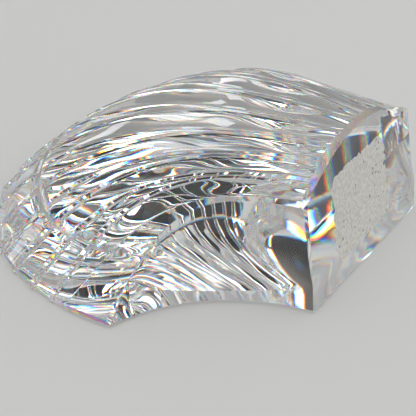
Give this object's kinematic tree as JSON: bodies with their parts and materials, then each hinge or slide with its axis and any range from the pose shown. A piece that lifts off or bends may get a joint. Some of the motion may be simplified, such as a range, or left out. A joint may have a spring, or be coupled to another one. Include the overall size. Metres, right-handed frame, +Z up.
{
  "type": "crystal shell paperweight",
  "caption": "Solid cut crystal paperweight shaped as a scallop shell, with a fluted crown, hollow flanks, a straight hinge end and a flat base that rests on papers.",
  "frame": {"origin": "middle of the flat base, which stands on the table", "axes": "+Z up, +X out of the straight hinge end, the fan's rim towards -X, alike on both sides of Y = 0"},
  "size_m": [0.0726, 0.089, 0.0257],
  "materials": {
    "clear_crystal": "clear lead crystal, cut and polished"
  },
  "bodies": {
    "root": {"crystal_shell": "clear_crystal"}
  },
  "joints": []
}
